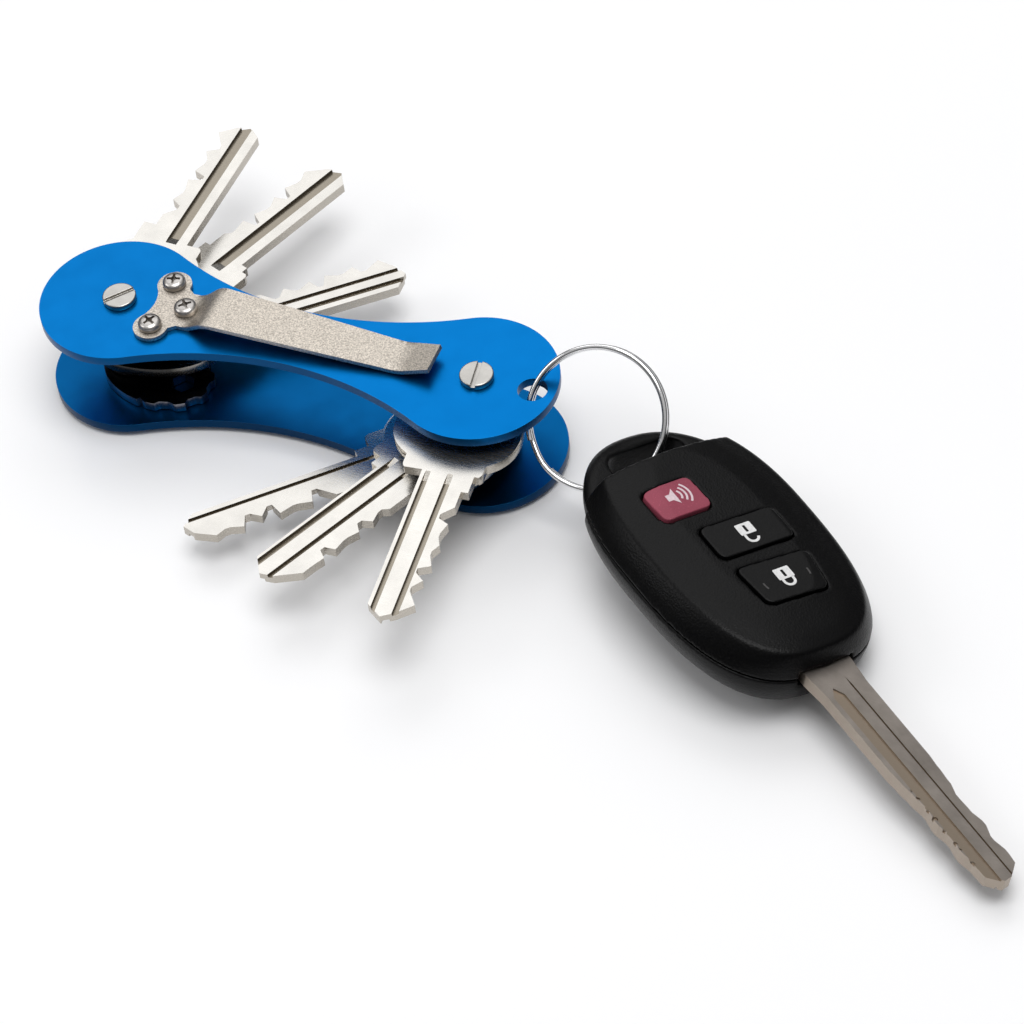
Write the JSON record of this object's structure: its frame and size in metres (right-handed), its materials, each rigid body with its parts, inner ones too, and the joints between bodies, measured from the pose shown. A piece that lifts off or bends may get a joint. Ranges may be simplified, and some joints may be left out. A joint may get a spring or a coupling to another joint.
{
  "type": "key organiser",
  "caption": "Two waisted metal plates on screw posts with fanned flat keys, a stowed tool leaf, a pocket clip and a split ring carrying a car key fob.",
  "frame": {"origin": "centre of the left post's foot, the flat end that stands on the table", "axes": "+X from the clip end to the ring end along the plates, +Z from the lower plate to the clip, +Y away from the fob's blade"},
  "size_m": [0.1918, 0.1125, 0.0263],
  "materials": {
    "anodised_blue": "satin blue anodised",
    "post_steel": "plated, lightly brushed",
    "washer_steel": "turned",
    "clip_steel": "bead blasted spring steel",
    "key_nickel": "bright nickel plate over brass",
    "tool_steel": "dark hardened steel",
    "ring_chrome": "polished",
    "fob_plastic": "fine textured black",
    "fob_button_plastic": "satin black",
    "alarm_plastic": "satin maroon",
    "blade_nickel": "dull warm nickel",
    "keypad_rubber": "matte",
    "board_green": "solder mask",
    "cell_steel": "bright"
  },
  "bodies": {
    "organiser": {"plate_lower": "anodised_blue", "plate_upper": "anodised_blue", "post_barrel_left": "post_steel", "post_screw_left": "post_steel", "post_barrel_right": "post_steel", "post_screw_right": "post_steel", "washer_left_1": "washer_steel", "washer_left_2": "washer_steel", "washer_left_3": "washer_steel", "washer_right_1": "washer_steel", "washer_right_2": "washer_steel", "washer_right_3": "washer_steel", "washer_right_4": "washer_steel", "pocket_clip": "clip_steel", "clip_screw_1": "post_steel", "clip_screw_2": "post_steel", "clip_screw_3": "post_steel"},
    "key_a_body": {"key_a": "key_nickel"},
    "key_b_body": {"key_b": "key_nickel"},
    "key_c_body": {"key_c": "key_nickel"},
    "key_d_body": {"key_d": "key_nickel"},
    "key_e_body": {"key_e": "key_nickel"},
    "key_f_body": {"key_f": "key_nickel"},
    "tool_body": {"tool_leaf": "tool_steel"},
    "ring_body": {"split_ring": "ring_chrome"},
    "fob_body": {"fob_shell_lower": "fob_plastic", "fob_shell_upper": "fob_plastic", "fob_blade": "blade_nickel", "fob_keypad": "keypad_rubber", "fob_circuit_board": "board_green", "fob_battery": "cell_steel"},
    "alarm_button": {"fob_button_alarm": "alarm_plastic"},
    "unlock_button": {"fob_button_unlock": "fob_button_plastic"},
    "lock_button": {"fob_button_lock": "fob_button_plastic"}
  },
  "joints": [
    {"name": "key_a_swing", "type": "hinge", "parent": "organiser", "child": "key_a_body", "pos_m": [0, 0, 0.01028], "axis": [0, 0, 1], "range_deg": [-87, 92]},
    {"name": "key_b_swing", "type": "hinge", "parent": "organiser", "child": "key_b_body", "pos_m": [0, 0, 0.01028], "axis": [0, 0, 1], "range_deg": [-68, 111]},
    {"name": "key_c_swing", "type": "hinge", "parent": "organiser", "child": "key_c_body", "pos_m": [0, 0, 0.01028], "axis": [0, 0, 1], "range_deg": [-39, 140]},
    {"name": "key_f_swing", "type": "hinge", "parent": "organiser", "child": "key_f_body", "pos_m": [0.066, 0, 0.01028], "axis": [0, 0, 1], "range_deg": [-94, 1]},
    {"name": "key_e_swing", "type": "hinge", "parent": "organiser", "child": "key_e_body", "pos_m": [0.066, 0, 0.01028], "axis": [0, 0, 1], "range_deg": [-64, 39]},
    {"name": "key_d_swing", "type": "hinge", "parent": "organiser", "child": "key_d_body", "pos_m": [0.066, 0, 0.01028], "axis": [0, 0, 1], "range_deg": [-42, 85]},
    {"name": "tool_swing", "type": "hinge", "parent": "organiser", "child": "tool_body", "pos_m": [0, 0, 0.01028], "axis": [0, 0, 1], "range_deg": [-120, 120]},
    {"name": "ring_tilt", "type": "hinge", "parent": "organiser", "child": "ring_body", "pos_m": [0.076, 0, 0.01861], "axis": [0, 1, 0], "range_deg": [-20, 3]},
    {"name": "fob_swing", "type": "hinge", "parent": "ring_body", "child": "fob_body", "pos_m": [0.09338, -0.00158, 0.01175], "axis": [0.5648, 0.7893, -0.241], "range_deg": [-40, 5]},
    {"name": "alarm_press", "type": "slide", "parent": "fob_body", "child": "alarm_button", "axis": [-0.2127, -0.1429, -0.9666], "range_m": [0, 0.0008], "stiffness_N_per_m": 800, "springref_m": -0.0005},
    {"name": "unlock_press", "type": "slide", "parent": "fob_body", "child": "unlock_button", "axis": [-0.2127, -0.1429, -0.9666], "range_m": [0, 0.0008], "stiffness_N_per_m": 800, "springref_m": -0.0005},
    {"name": "lock_press", "type": "slide", "parent": "fob_body", "child": "lock_button", "axis": [-0.2127, -0.1429, -0.9666], "range_m": [0, 0.0008], "stiffness_N_per_m": 800, "springref_m": -0.0005}
  ]
}
